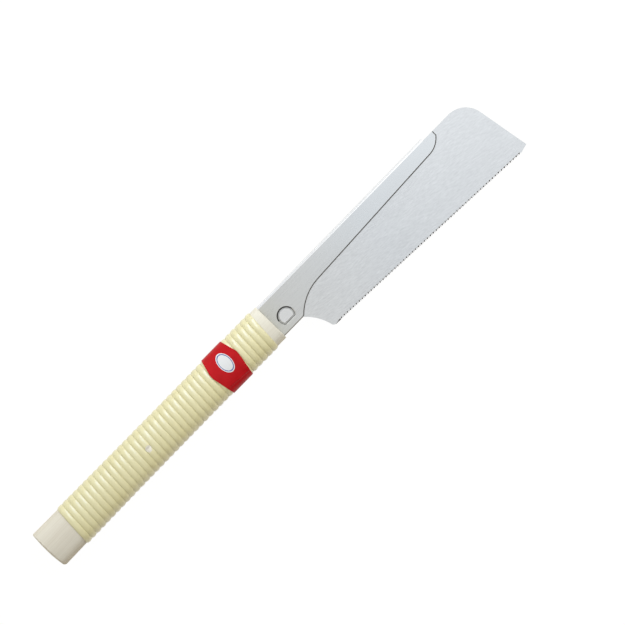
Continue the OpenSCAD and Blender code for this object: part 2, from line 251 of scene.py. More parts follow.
def cut(obj, *cutters):
    """Takes the cutters away from the object, and removes them from the scene."""
    for cutter in cutters:
        step = obj.modifiers.new("cut", "BOOLEAN")
        step.object = cutter
        step.solver = "EXACT"
    bake(obj)
    for cutter in cutters:
        bpy.data.objects.remove(cutter)


def round_edges(obj, width, segments):
    """Rounds the sharp edges, and keeps the faces between them flat."""
    obj.data.shade_smooth()
    step = obj.modifiers.new("round", "BEVEL")
    step.width = width * MM
    step.segments = segments
    step.limit_method = "ANGLE"
    step.angle_limit = SHARP_TURN
    step.harden_normals = True
    bake(obj)


def smooth(obj, angle=40):
    """Smooth shading, with a crease where faces meet at more than an angle."""
    obj.data.shade_smooth()
    obj.data.set_sharp_from_angle(angle=math.radians(angle))


def put(obj, body, node, slot, *materials):
    """Gives the piece its materials and its place in the model.
    It rides on a body and stands for a CAD node, which it hides; slot is not used."""
    for material in materials:
        obj.data.materials.append(material)
    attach(obj, body)
    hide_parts(node)


# Material helpers

def add_node(tree, kind, inputs=None, **settings):
    """A shader node of a kind, with its settings, and its inputs set to values or linked to sockets."""
    made = tree.nodes.new("ShaderNode" + kind)
    for key, value in settings.items():
        setattr(made, key, value)
    for key, value in (inputs or {}).items():
        if isinstance(value, bpy.types.NodeSocket):
            tree.links.new(value, made.inputs[key])
        else:
            made.inputs[key].default_value = value
    return made


def new_material(name, **settings):
    """A material and its node tree, with the plain values of its shader set."""
    material = bpy.data.materials.new(name)
    material.use_nodes = True
    shader = material.node_tree.nodes["Principled BSDF"]
    for key, value in settings.items():
        shader.inputs[key.replace("_", " ").title().replace("Ior", "IOR")].default_value = value
    return material, material.node_tree, shader


def math_node(tree, operation, *values):
    """The result of a calculation on values or sockets."""
    return add_node(tree, "Math", dict(enumerate(values)), operation=operation).outputs["Value"]


def map_range(tree, value, start, end, low=0.0, high=1.0, **settings):
    """A value that runs from low to high while another runs from start to end."""
    return add_node(tree, "MapRange", {
        "Value": value, "From Min": start, "From Max": end, "To Min": low, "To Max": high},
        **settings).outputs["Result"]


def noise(tree, vector, scale, detail=3.0, roughness=0.55, turn=0.0):
    """A noise stretched by its scale along each axis, from 0 to 1, after a turn about Z in degrees."""
    mapped = add_node(tree, "Mapping", {
        "Vector": vector, "Rotation": (0, 0, math.radians(turn)), "Scale": [1 / s for s in scale]},
        vector_type="TEXTURE")
    return add_node(tree, "TexNoise", {
        "Vector": mapped.outputs["Vector"], "Scale": 1.0, "Detail": detail, "Roughness": roughness,
    }).outputs["Fac"]


def ramp(tree, factor, *stops):
    """A colour from stops of place and colour."""
    made = add_node(tree, "ValToRGB", {"Fac": factor})
    elements = made.color_ramp.elements
    while len(elements) < len(stops):
        elements.new(0.5)
    for element, (place, colour) in zip(elements, stops):
        element.position = place
        element.color = (*colour, 1.0)
    return made.outputs["Color"]


def mix(tree, factor, first, second, blend="MIX"):
    """Two colours or sockets mixed by a factor; the node has 6 and 7 for colours, and 2 for the result."""
    inputs = {0: factor}
    for key, colour in ((6, first), (7, second)):
        inputs[key] = colour if isinstance(colour, bpy.types.NodeSocket) else (*colour, 1.0)
    return add_node(tree, "Mix", inputs, data_type="RGBA", blend_type=blend).outputs[2]


def bump(tree, shader, height, strength, distance):
    """Roughens the surface by a height, over a distance in millimetres."""
    made = add_node(tree, "Bump", {"Height": height, "Strength": strength, "Distance": distance * MM})
    tree.links.new(made.outputs["Normal"], shader.inputs["Normal"])


def object_place(tree):
    """Place on the object, in metres."""
    return add_node(tree, "TexCoord").outputs["Object"]


def along_saw(tree, place, start, end):
    """How far a place lies along the saw, from 0 at start to 1 at end."""
    split = add_node(tree, "SeparateXYZ", {"Vector": place})
    return map_range(tree, split.outputs["X"], start * MM, end * MM)


# Materials

def wood_material():
    """Pale wood with fibres along the saw, with painted shade that makes it darker at the butt and lighter
    towards the front.
    """
    material, tree, shader = new_material("pale_wood", roughness=0.68, specular_ior_level=0.15)
    place = object_place(tree)
    bands = noise(tree, place, (5, 130, 130), 2.0)
    fibres = noise(tree, place, (30, 1300, 1300), 4.0, 0.65)
    # Painted shade and light: darker tones at the butt and lighter ones at the front, for light that grows
    # towards the toe.
    butt_shaded_tone = ramp(tree, bands, (0.3, (0.74, 0.695, 0.60)), (0.5, (0.77, 0.73, 0.635)),
                (0.7, (0.79, 0.755, 0.66)))
    front_lit_tone = ramp(tree, bands, (0.3, (0.80, 0.77, 0.672)), (0.5, (0.825, 0.80, 0.707)),
                 (0.7, (0.845, 0.825, 0.737)))
    tone = mix(tree, along_saw(tree, place, BUTT_BARE, HANDLE_LEN - FRONT_BARE), butt_shaded_tone, front_lit_tone)
    streaks = ramp(tree, fibres, (0.3, (0.90, 0.88, 0.85)), (0.6, (1.0, 1.0, 1.0)))
    tree.links.new(mix(tree, 0.7, tone, streaks, "MULTIPLY"), shader.inputs["Base Color"])
    bump(tree, shader, fibres, 0.35, 0.08)
    return material


def strip_place(tree):
    """Place on the cane strip, in metres along it and across it."""
    return add_node(tree, "UVMap", uv_map="strip").outputs["UV"]


def cane_material():
    """Glossy skin of the cane, with fibres along the strip."""
    material, tree, shader = new_material(
        "cane_skin", roughness=0.45, specular_ior_level=0.2,
        coat_weight=1.0, coat_roughness=0.30, coat_ior=1.6)
    place = strip_place(tree)
    length_tone = noise(tree, place, (14, 30, 1), 2.0)
    fibres = noise(tree, place, (60, 2600, 1), 3.0, 0.6)
    tone = ramp(tree, length_tone, (0.28, (0.765, 0.71, 0.405)), (0.5, (0.785, 0.735, 0.44)),
                (0.72, (0.805, 0.76, 0.475)))
    streaks = ramp(tree, fibres, (0.3, (0.93, 0.91, 0.84)), (0.6, (1.0, 1.0, 1.0)))
    tree.links.new(mix(tree, 0.6, tone, streaks, "MULTIPLY"), shader.inputs["Base Color"])
    bump(tree, shader, fibres, 0.06, 0.05)
    return material


def pith_material():
    """Pale pith, which shows where the cane is cut on a slant."""
    material, tree, shader = new_material("cane_pith", roughness=0.7)
    fibres = noise(tree, strip_place(tree), (150, 3000, 1), 3.0)
    tone = ramp(tree, fibres, (0.3, (0.74, 0.68, 0.55)), (0.65, (0.87, 0.84, 0.76)))
    tree.links.new(tone, shader.inputs["Base Color"])
    bump(tree, shader, fibres, 0.4, 0.08)
    return material


def label_material():
    """Red film with a plain oval field across it, which has a thin ring inside its edge."""
    white, blue = (0.78, 0.80, 0.82), (0.06, 0.10, 0.36)
    material, tree, shader = new_material("red_film", roughness=0.42, specular_ior_level=0.12)
    place = object_place(tree)
    split = add_node(tree, "SeparateXYZ", {"Vector": place})
    squares = []
    for axis, middle, half in (("X", LABEL_X + FIELD_IN, FIELD_HALF_LEN), ("Y", FIELD_Y, FIELD_HALF_W)):
        aside = math_node(tree, "SUBTRACT", split.outputs[axis], middle * MM)
        squares.append(math_node(tree, "POWER", math_node(tree, "DIVIDE", aside, half * MM), 2.0))
    reach = math_node(tree, "SQRT", math_node(tree, "ADD", *squares))
    oval = math_node(tree, "LESS_THAN", reach, 1.0)
    ring_in, ring_out = FIELD_RING
    ring = math_node(tree, "MULTIPLY", math_node(tree, "LESS_THAN", reach, ring_out),
                     math_node(tree, "GREATER_THAN", reach, ring_in))
    cloud = noise(tree, place, (90, 90, 90), 2.0)
    red = ramp(tree, cloud, (0.3, (0.47, 0.006, 0.010)), (0.7, (0.56, 0.009, 0.015)))
    white_field = mix(tree, oval, red, white)
    tree.links.new(mix(tree, ring, white_field, blue), shader.inputs["Base Color"])
    bump(tree, shader, noise(tree, place, (45, 420, 420), 2.0), 0.25, 0.12)
    return material


def brushed_steel(name, tones, streak, roughness, line_scale, turn=0.0, relief=0.08):
    """Steel with fine lines along its length, or turned from it.
    tones are its colours at distances from the handle, which on the back and the blade hold painted light
    and shade along the saw."""
    material, tree, shader = new_material(name, metallic=1.0)
    place = object_place(tree)
    lines = noise(tree, place, line_scale, 4.0, 0.6, turn)
    cloud = noise(tree, place, (16, 40, 40), 2.0)
    reach = tones[-1][0]
    along = along_saw(tree, place, HANDLE_LEN, HANDLE_LEN + reach)
    tone = ramp(tree, along, *[(distance / reach, colour) for distance, colour in tones])
    lined = ramp(tree, lines, (0.3, (1 - streak,) * 3), (0.7, (1.0, 1.0, 1.0)))
    clouded = ramp(tree, cloud, (0.3, (0.97, 0.97, 0.97)), (0.7, (1.0, 1.0, 1.0)))
    brushed = mix(tree, 1.0, tone, lined, "MULTIPLY")
    tree.links.new(mix(tree, 1.0, brushed, clouded, "MULTIPLY"), shader.inputs["Base Color"])
    swing = 0.04
    spread = map_range(tree, lines, 0.3, 0.7, roughness - swing, roughness + swing)
    tree.links.new(spread, shader.inputs["Roughness"])
    bump(tree, shader, lines, relief, 0.02)
    return material


def one_tone(*colour):
    """Tones of a steel that has one colour all along."""
    return ((0, colour), (1, colour))


def tint_heel(material):
    """Darkens the plain edge at the heel, in a wedge that widens towards the first tooth."""
    start, end, width = 1.4, HEEL_LEN - 0.7, 1.2
    burnt = (0.08, 0.07, 0.06)
    tree = material.node_tree
    shader = tree.nodes["Principled BSDF"]
    steel = shader.inputs["Base Color"].links[0].from_socket
    slope = math.radians(TOOTH_SLOPE)
    heel = Vector((HANDLE_LEN + HEEL_X, -HEEL_DROP, 0)) * MM
    from_heel = add_node(tree, "VectorMath", {0: object_place(tree), 1: heel},
                         operation="SUBTRACT").outputs["Vector"]
    parts = []
    for way in ((math.cos(slope), -math.sin(slope), 0), (math.sin(slope), math.cos(slope), 0)):
        parts.append(add_node(tree, "VectorMath", {0: from_heel, 1: way},
                              operation="DOT_PRODUCT").outputs["Value"])
    along, up = parts
    wedge = map_range(tree, along, start * MM, end * MM, 0.0, width * MM)
    below = math_node(tree, "LESS_THAN", up, wedge)
    mask = math_node(tree, "MULTIPLY", below, math_node(tree, "LESS_THAN", along, end * MM))
    tree.links.new(mix(tree, mask, steel, burnt), shader.inputs["Base Color"])
    return material


def tooth_material(name, colour, tint):
    """Hardened tooth, with the colours of heat."""
    material, tree, shader = new_material(name, metallic=1.0, roughness=0.42)
    spots = noise(tree, object_place(tree), (700, 700, 700), 2.0)
    tree.links.new(ramp(tree, spots, (0.3, colour), (0.7, tint)), shader.inputs["Base Color"])
    return material


# Handle

def half_width(x):
    """Half the width of the wood at a distance from the butt."""
    along = x / HANDLE_LEN
    return (BUTT_W + (FRONT_W - BUTT_W) * along) / 2 - 4 * WAIST * along * (1 - along)


def oval_arcs(half_w, half_t, crown):
    """Radius of an oval's round sides, distance of their centres from its middle, and the tilt where they
    meet its crowns, of radius crown, without a corner."""
    side_r = (2 * crown * half_t - half_w ** 2 - half_t ** 2) / (2 * (crown - half_w))
    return side_r, half_w - side_r, math.asin((half_w - side_r) / (crown - side_r))


def oval_point(tilt, half_w, half_t, crown):
    """A point of an oval in Y and Z, and its outward direction.
    The tilt runs from the top towards the spine side."""
    side_r, side_y, meet = oval_arcs(half_w, half_t, crown)
    out = Vector((math.sin(tilt), math.cos(tilt)))
    if abs(out.x) > math.sin(meet):
        return Vector((math.copysign(side_y, out.x), 0)) + side_r * out, out
    return Vector((0, math.copysign(crown - half_t, -out.y))) + crown * out, out


def oval_runs(half_w, half_t, crown):
    """Tilts at the ends of an oval's arcs, from the middle of the top round to it again, and the lengths
    to them."""
    side_r, _, meet = oval_arcs(half_w, half_t, crown)
    tilts = [0, meet, math.pi - meet, math.pi + meet, 2 * math.pi - meet, 2 * math.pi]
    runs = [0.0]
    for a, b, radius in zip(tilts, tilts[1:], (crown, side_r, crown, side_r, crown)):
        runs.append(runs[-1] + radius * (b - a))
    return tilts, runs


def section_point(share, half_w, half_t, crown):
    """A point of an oval in Y and Z, and its outward direction.
    share runs from 0 to 1, from the middle of the top over the spine side, the underside and the tooth
    side."""
    tilts, runs = oval_runs(half_w, half_t, crown)
    walk = share % 1 * runs[-1]
    k = 0
    while walk > runs[k + 1] and k < len(runs) - 2:
        k += 1
    tilt = tilts[k] + (tilts[k + 1] - tilts[k]) * (walk - runs[k]) / (runs[k + 1] - runs[k])
    return oval_point(tilt, half_w, half_t, crown)


def half_outline(half_w, side):
    """Half the wood's section, from the spine side over the top or the underside to the tooth side.
    Each point has its outward direction. A fine groove marks the glue line."""
    groove = 0.12
    side_steps, crown_steps = 12, 6
    side_r, _, meet = oval_arcs(half_w, HALF_T, CROWN_R)
    start = math.pi / 2 - groove / side_r
    tilts = [start + (meet - start) * i / side_steps for i in range(side_steps + 1)]
    tilts += [meet - meet * i / crown_steps for i in range(1, crown_steps + 1)]
    tilts += [-tilt for tilt in reversed(tilts[:-1])]
    whole = [oval_point(tilt, half_w, HALF_T, CROWN_R) for tilt in tilts]
    whole.insert(0, (Vector((half_w - groove, 0)), Vector((1, 0))))
    whole.append((Vector((groove - half_w, 0)), Vector((-1, 0))))
    return [(Vector((p.x, side * p.y)), Vector((out.x, side * out.y))) for p, out in whole]


def wood_ring(x, side, inset=0.0):
    """Ring of half the wood at a distance from the butt, sunk in by an inset."""
    return [(x, *(p - inset * out)) for p, out in half_outline(half_width(x), side)]


def seat_end(side, way, inset):
    """Ring where the bare wood ends along the first or the last turn of the cane.
    way is -1 at the butt and 1 in front. The turn starts and ends on the underside, so the ring slants
    round the handle."""
    edge_gap = CANE_CLEAR / 3
    middle_x = CANE_FIRST_X if way < 0 else CANE_FIRST_X + CANE_ROOM
    outline = half_outline(half_width(middle_x), side)
    runs = [0.0]
    for (p, _), (q, _) in zip(outline, outline[1:]):
        runs.append(runs[-1] + (q - p).length)
    ring = []
    for (p, out), run in zip(outline, runs):
        # Share of a turn from the top, as the outline runs from the spine side to the tooth side
        share = 0.25 - side * 0.5 * run / runs[-1]
        turn = -way * (share - 0.5) % 1
        x = middle_x + way * (CANE_SHOWN_W / 2 + edge_gap - LAY * turn - inset)
        ring.append((x, *(p - inset * out)))
    return ring


def butt_rings(side):
    """Rings over the domed face of the butt and round its rim, which is rounder on the tooth side."""
    face_scales = (0.1, 0.4, 0.75)
    spots = []
    for p, out in half_outline(BUTT_W / 2, side):
        lean = max(0, -out.x)
        rim, fall = BUTT_RIM_R + BUTT_RIM_LEAN * lean, BUTT_DOME * (1 + BUTT_DOME_LEAN * lean)
        spots.append((p, out, rim, fall))
    rings = []
    for scale in face_scales:
        rings.append([(fall * scale ** 2, *(scale * (p - rim * out))) for p, out, rim, fall in spots])
    for angle in range(0, 91, 15):
        turn = math.radians(angle)
        back, inset = 1 - math.cos(turn), 1 - math.sin(turn)
        rings.append([(fall + rim * back, *(p - rim * inset * out)) for p, out, rim, fall in spots])
    return rings


def box_cutter(name, low, high):
    """A box from one corner to the other, for cutting."""
    outline = [(low[0], low[1]), (high[0], low[1]), (high[0], high[1]), (low[0], high[1])]
    return prism(name, outline, low[2], high[2])


def round_cutter(name, x, y, radius, low, high):
    """A cylinder along Z, for cutting."""
    return prism(name, circle((x, y), radius), low, high)


def pin_cutters(half_t):
    """Cylinders for the pin holes through a piece, of which half the thickness is given."""
    return [round_cutter("pin_hole", x, 0, PIN_R, -half_t - OVER, half_t + OVER) for x in PIN_XS]


def wood_half(name, side):
    """One half of the handle's core; side is 1 above the plane of the blade and -1 below it."""
    seat_steps = 8
    first_x, last_x = CANE_FIRST_X + LAY, CANE_FIRST_X + CANE_ROOM - LAY
    rings = butt_rings(side)
    rings += [wood_ring(BUTT_BARE / 2, side), seat_end(side, -1, 0.0), seat_end(side, -1, SEAT_DEPTH)]
    for i in range(seat_steps + 1):
        rings.append(wood_ring(first_x + (last_x - first_x) * i / seat_steps, side, SEAT_DEPTH))
    rings += [seat_end(side, 1, SEAT_DEPTH), seat_end(side, 1, 0.0)]
    for angle in range(0, 91, 30):
        turn = math.radians(angle)
        x = HANDLE_LEN - FRONT_RIM_R * (1 - math.sin(turn))
        rings.append(wood_ring(x, side, FRONT_RIM_R * (1 - math.cos(turn))))
    wood = mesh_object(name, *loft(rings))
    recess_x = HANDLE_LEN - TANG_LEN - TANG_CLEAR
    recess_y = TANG_W / 2 + TANG_CLEAR
    recess_z = HALF_BACK + TANG_CLEAR
    cutters = [box_cutter("recess", (recess_x, -recess_y, -recess_z),
                          (HANDLE_LEN + OVER, recess_y, recess_z))]
    cutters += pin_cutters(HALF_T)
    if side < 0:
        cutters += [tuck_pocket(-1), tuck_pocket(1)]
    cut(wood, *cutters)
    smooth(wood)
    return wood


# Cane winding

def lay_direction():
    """Direction of the cane on top of the handle in X and Y, and the length of a turn."""
    _, runs = oval_runs(half_width(SPLICE_X) - SEAT_DEPTH + CANE_CLEAR, PATH_HALF_T, PATH_CROWN)
    return Vector((LAY / runs[-1], 1)).normalized(), runs[-1]


def winding_frame(turn):
    """Middle of the cane's underside and its outward direction, some turns after the splice."""
    x = SPLICE_X + LAY * turn
    yz, out = section_point(turn, half_width(x) - SEAT_DEPTH + CANE_CLEAR, PATH_HALF_T, PATH_CROWN)
    return Vector((x, *yz)), Vector((0, *out))


def tuck_pocket(way):
    """Pocket under the handle for an end of the cane; way is 1 for the front end and -1 for the rear end."""
    end, _ = winding_frame(FRONT_TURNS + 0.5 if way > 0 else -REAR_TURNS - 0.5)
    size_x = CANE_SHOWN_W / 2 + 2 * CANE_CLEAR
    size_y = TUCK_R + CANE_T + 2 * CANE_CLEAR
    low_y, high_y = (CANE_CLEAR - size_y, CANE_CLEAR) if way > 0 else (-CANE_CLEAR, size_y - CANE_CLEAR)
    depth = TUCK_R + CANE_W + CANE_CLEAR
    low, high = (end.x - size_x, low_y, end.z - OVER), (end.x + size_x, high_y, end.z + depth)
    return box_cutter("pocket", low, high)


def cane_profile():
    """Section of the cane in shares of its width and thickness: flat below, with full edges and a domed
    skin."""
    foot, edge, low, fullness = 0.46, 0.5, 0.34, 0.75
    steps = 16
    dome = []
    for i in range(steps + 1):
        across = math.cos(math.pi * i / steps)
        dome.append((edge * across, low + (1 - low) * (1 - across ** 2) ** fullness))
    return [(-foot, 0.0), (foot, 0.0), *dome]


def hand_sway(turn):
    """How far a turn strays along the handle, as cane laid by hand does."""
    slow_sway, slow_rate, slow_start = 0.012, 2.1, 0.8
    fast_sway, fast_rate = 0.008, 7.3
    return slow_sway * math.sin(slow_rate * turn + slow_start) + fast_sway * math.sin(fast_rate * turn)


def tucked_end(middle, out, ahead):
    """Frames of an end of the cane, which bends into the wood and then runs straight."""
    frames = []
    for angle in range(15, 91, 15):
        turn = math.radians(angle)
        place = middle + TUCK_R * (math.sin(turn) * ahead - (1 - math.cos(turn)) * out)
        frames.append((place, math.cos(turn) * out + math.sin(turn) * ahead, 1.0))
    frames.append((middle + TUCK_R * (ahead - out) - CANE_W * out, ahead, 1.0))
    return frames


def strip_frames(way, turns):
    """Frames of one length of cane, from the splice on top to its tucked end.
    A frame is the middle of the underside, its outward direction and its share of the full thickness."""
    stations_per_turn = 80
    splice_thick = 0.5
    cut_turn = CUT_TURNS[way]
    direction, turn_len = lay_direction()
    count = round((turns - cut_turn) * stations_per_turn)
    walk = [cut_turn * i / CUT_STEPS for i in range(CUT_STEPS)]
    walk += [cut_turn + (turns - cut_turn) * i / count for i in range(count + 1)]
    frames = []
    for step in walk:
        turn = way * max(step, SPLICE_GAP / 2 / turn_len)
        middle, out = winding_frame(turn)
        # Both lengths are cut on a slant, down to the pith, where they meet in the splice
        thick = min(1.0, splice_thick + (1 - splice_thick) * step / cut_turn)
        frames.append((middle + Vector((hand_sway(turn), 0, 0)), out, thick))
    middle, out, _ = frames[-1]
    ahead = Vector((way * direction.x, -way * direction.y, 0))
    return frames + tucked_end(middle, out, ahead)


def winding(name, way, turns):
    """One length of cane; way is 1 towards the front and -1 towards the butt.
    Its pith gets material 1, where the slanted cut bares it."""
    grain_start = 0.0 if way > 0 else 7.0
    pith_half_w, pith_narrowing = 0.5, 0.15
    frames = strip_frames(way, turns)
    profile = cane_profile()
    rings = []
    lengths = [0.0]
    for k, (middle, out, thick) in enumerate(frames):
        ring = []
        for across, up in profile:
            p = middle + Vector((across * CANE_SHOWN_W, 0, 0)) + up * thick * CANE_T * out
            ring.append((p.x, p.y, max(p.z, REST_Z)))
        rings.append(ring)
        if k:
            lengths.append(lengths[-1] + (middle - frames[k - 1][0]).length)
    strip = mesh_object(name, *loft(rings))
    layer = strip.data.uv_layers.new(name="strip")
    size = len(profile)
    for loop in strip.data.loops:
        ring, j = divmod(loop.vertex_index, size)
        layer.data[loop.index].uv = (grain_start + lengths[ring] * MM, profile[j][0] * CANE_SHOWN_W * MM)
    for face in strip.data.polygons:
        ring = max(v // size for v in face.vertices)
        across = max(abs(profile[v % size][0]) for v in face.vertices)
        if ring <= CUT_STEPS and across < pith_half_w - pith_narrowing * (ring / CUT_STEPS) ** 2:
            face.material_index = 1
    smooth(strip, 50)
    return strip


# Label

def film_half_len(y, half_w):
    """Half the film's length at a distance from the saw's axis; its points are a little blunt."""
    blunt = 0.12
    share = min(1, abs(y - LABEL_SKEW) / (half_w + math.copysign(LABEL_SKEW, LABEL_SKEW - y)))
    taper = (math.hypot(share, blunt) - blunt) / (math.hypot(1, blunt) - blunt)
    return (LABEL_LEN_MID + (LABEL_LEN_SIDE - LABEL_LEN_MID) * taper) / 2


def film_crease(walk, along):
    """Height of the film's creases at a distance from the top and a place along the film."""
    crease = 0.0
    for height, aside, slant, width in LABEL_CREASES:
        crease += height * math.exp(-((walk + aside + slant * along) / width) ** 2)
    return crease


def two_sided_faces(rows, columns):
    """Faces of a thin sheet with a grid of points on each side, the outer one first, and of its rim."""
    row = columns + 1
    sheet = (rows + 1) * row
    faces = []
    for i in range(rows):
        for j in range(columns):
            a = i * row + j
            faces.append((a, a + 1, a + row + 1, a + row))
            faces.append((sheet + a, sheet + a + row, sheet + a + row + 1, sheet + a + 1))
    rim = [(i * row, (i + 1) * row) for i in range(rows)]
    rim += [(rows * row + j, rows * row + j + 1) for j in range(columns)]
    rim += [((i + 1) * row + columns, i * row + columns) for i in range(rows)]
    rim += [(j + 1, j) for j in range(columns)]
    return faces + [(a, b, b + sheet, a + sheet) for a, b in rim]


def label_film():
    """Film over the top and the sides of the winding, which bridges from crown to crown."""
    side_steps, length_steps = 96, 72
    half_w = max(half_width(LABEL_X + s * LABEL_LEN_MID / 2) for s in (-1, 1)) - SEAT_DEPTH + CANE_CLEAR
    half_w += CANE_T + LABEL_CLEAR
    half_t = CROWN_HALF_T + LABEL_CLEAR
    crown = PATH_CROWN + CANE_T + LABEL_CLEAR
    side_r, _, meet = oval_arcs(half_w, half_t, crown)
    around = crown * meet + side_r * (math.pi / 2 - meet + math.asin(LABEL_DROP / side_r))
    perimeter = oval_runs(half_w, half_t, crown)[1][-1]
    points = []
    for level in (LABEL_T, 0.0):
        for i in range(side_steps + 1):
            walk = around * (2 * i / side_steps - 1)
            yz, out = section_point(walk / perimeter, half_w, half_t, crown)
            half_len = film_half_len(yz.x, half_w)
            for j in range(length_steps + 1):
                along = 2 * j / length_steps - 1
                x = LABEL_X + half_len * along
                phase = (x - SPLICE_X) / LAY - walk / perimeter
                sag = LABEL_DIP * (1 - math.cos(2 * math.pi * phase))
                place = yz + (level - sag + film_crease(walk, along)) * out
                points.append((x, *place))
    film = mesh_object("label_film", points, two_sided_faces(side_steps, length_steps))
    smooth(film, 60)
    return film


# Folded back and stud

def round_with_flat(radius, flat, steps=48):
    """Outline of a round with a flat on the tooth side, about the stud's centre."""
    angle = math.degrees(math.asin(flat / radius))
    return arc(STUD_C, radius, -angle, 180 + angle, steps)


def leaf_outline():
    """One side of the back in X and Y, with its tang; its first edge is the one at the fold."""
    root_end = HANDLE_LEN + ROOT_LEN
    tip = HANDLE_LEN + BACK_LEN
    slope = math.radians(EDGE_SLOPE)
    sweep_y = ROOT_Y + SWEEP_RISE - SWEEP_R * math.cos(slope)
    sweep_end = 180 - math.degrees(math.asin((ROOT_Y + ROOT_BEVEL[1] - sweep_y) / SWEEP_R))
    sweep_c = Vector((root_end + ROOT_BEVEL[0] - SWEEP_R * math.cos(math.radians(sweep_end)), sweep_y))
    edge_start = sweep_c + SWEEP_R * Vector((-math.sin(slope), math.cos(slope)))
    tip_start_x = tip - TIP_RUN
    tip_start = Vector((tip_start_x, edge_start.y + (tip_start_x - edge_start.x) * math.tan(slope)))
    tip_c = tip_start + TIP_R * Vector((-math.sin(slope), math.cos(slope)))
    tip_end = -math.degrees(math.acos((tip - tip_c.x) / TIP_R))
    relief_x = tip - RELIEF_LEN
    tang_r = TANG_W / 2
    tang_c = (HANDLE_LEN - TANG_LEN + tang_r, 0)
    return [
        Vector((HANDLE_LEN, FOLD_Y)), Vector((relief_x, FOLD_Y)), Vector((tip, FOLD_Y)),
        *arc(tip_c, TIP_R, tip_end, EDGE_SLOPE - 90, 16),
        *arc(sweep_c, SWEEP_R, 90 + EDGE_SLOPE, sweep_end, 32),
        Vector((root_end, ROOT_Y)), Vector((HANDLE_LEN, ROOT_Y)), Vector((HANDLE_LEN, -tang_r)),
        *arc(tang_c, tang_r, 270, 90, 24), Vector((HANDLE_LEN, tang_r))]


def mark_rims(back):
    """Bevel weights on the outer rims of both leaves and of the window, where they show."""
    margin = 0.1
    work = bmesh.new()
    work.from_mesh(back.data)
    weights = work.edges.layers.float.new("bevel_weight_edge")
    for edge in work.edges:
        ends = [v.co / MM for v in edge.verts]
        outer = all(abs(abs(p.z) - HALF_BACK) < NEAR for p in ends)
        shown = max(p.x for p in ends) > HANDLE_LEN + margin and min(p.y for p in ends) < FOLD_Y - margin
        if outer and shown and len(edge.link_faces) == 2 and edge.calc_face_angle() > SHARP_TURN:
            from_stud = max((p.xy - STUD_C).length for p in ends)
            if from_stud > STUD_R + WINDOW_GAP + margin:
                edge[weights] = LEAF_CHAMFER / WINDOW_CHAMFER
            elif ends[0].z > 0:
                edge[weights] = 1.0
    work.to_mesh(back.data)
    work.free()


def paint_sheet(back):
    """Materials of the sheet: 1 on its cut edge in front of the root, 2 on the fold and 3 on the window's
    edge; 2 is a lighter steel for a painted highlight, and 1 and 3 are dark steels for painted shade, 1 also
    for the duller cut edge.
    The upper part of the window's chamfer keeps 0, like the leaves, where it is turned to the light."""
    upright, flat = 0.3, 0.97
    lit_share, lit_turn = 0.6, -0.1
    for face in back.data.polygons:
        level = abs(face.normal.z)
        slanted = upright < level < flat
        by_window = (face.center.xy / MM - STUD_C).length < STUD_R + WINDOW_SLOT + WINDOW_CHAMFER
        # Painted highlight: the fold takes the lighter steel.
        if face.center.y > FOLD_Y * MM:
            face.material_index = 2
        # Painted shade: the window's edge takes the dark steel, except the upper chamfer where it is turned
        # to the light.
        elif by_window and level < flat:
            depth = HALF_BACK - abs(face.center.z) / MM
            upper = depth < CHAMFER_FALL * WINDOW_CHAMFER * lit_share
            lit = slanted and upper and face.normal.y > lit_turn
            face.material_index = 0 if lit else 3
        # The cut edge in front of the root takes dark steel, for its duller face and for painted shade.
        elif slanted and face.center.x > (HANDLE_LEN + ROOT_LEN) * MM:
            face.material_index = 1


def chamfer_sheet(back):
    """Low chamfers on the rims that show, and a crease where the leaves meet the fold."""
    mark_rims(back)
    step = back.modifiers.new("chamfer", "BEVEL")
    step.width = WINDOW_CHAMFER * MM
    step.segments = 3
    step.profile = 0.25
    step.limit_method = "WEIGHT"
    step.use_clamp_overlap = False
    bake(back)
    # The bevels are as deep as they are wide, and are made lower here
    for vertex in back.data.vertices:
        p = vertex.co / MM
        depth = HALF_BACK - abs(p.z)
        if depth < WINDOW_CHAMFER + NEAR and p.y < FOLD_Y + NEAR:
            vertex.co.z = math.copysign(HALF_BACK - CHAMFER_FALL * depth, p.z) * MM
    paint_sheet(back)
    smooth(back, 25)
    for edge in back.data.edges:
        ends = [back.data.vertices[v].co / MM for v in edge.vertices]
        if all(abs(p.y - FOLD_Y) < NEAR and abs(abs(p.z) - HALF_BACK) < NEAR for p in ends):
            edge.use_edge_sharp = True


def folded_back():
    """Sheet folded over the back edge of the blade, as one closed skin of two leaves and the fold."""
    outline = leaf_outline()
    count = len(outline)
    levels = (HALF_BACK, HALF_SLOT, -HALF_SLOT, -HALF_BACK)
    points = [(p.x, p.y, z) for z in levels for p in outline]
    faces = [tuple(range(k * count, (k + 1) * count)) for k in range(4)]
    for i in range(1, count):
        j = (i + 1) % count
        faces.append((i, j, count + j, count + i))
        faces.append((2 * count + i, 2 * count + j, 3 * count + j, 3 * count + i))
    steps = 20
    bends = []
    for depth, half, first in ((FOLD_DEPTH, HALF_BACK, 0), (FOLD_DEPTH - LEAF_T, HALF_SLOT, count)):
        last = 3 * count - first
        for end in (0, 1):
            rows = [first + end]
            for k in range(1, steps):
                turn = math.pi * k / steps
                rows.append(len(points))
                points.append((outline[end].x, FOLD_Y + depth * math.sin(turn), half * math.cos(turn)))
            rows.append(last + end)
            bends.append(rows)
    for a, b in ((bends[0], bends[1]), (bends[2], bends[3]), (bends[0], bends[2]), (bends[1], bends[3])):
        faces += [(a[k], b[k], b[k + 1], a[k + 1]) for k in range(steps)]
    back = mesh_object("folded_back", points, faces)
    window = prism("window", round_with_flat(STUD_R + WINDOW_SLOT, STUD_FLAT + WINDOW_SLOT),
                   0, HALF_BACK + OVER)
    rivet_hole = round_cutter("rivet_hole", *STUD_C, RIVET_R, -HALF_BACK - OVER, 0)
    cut(back, window, rivet_hole, *pin_cutters(HALF_BACK))
    chamfer_sheet(back)
    return back


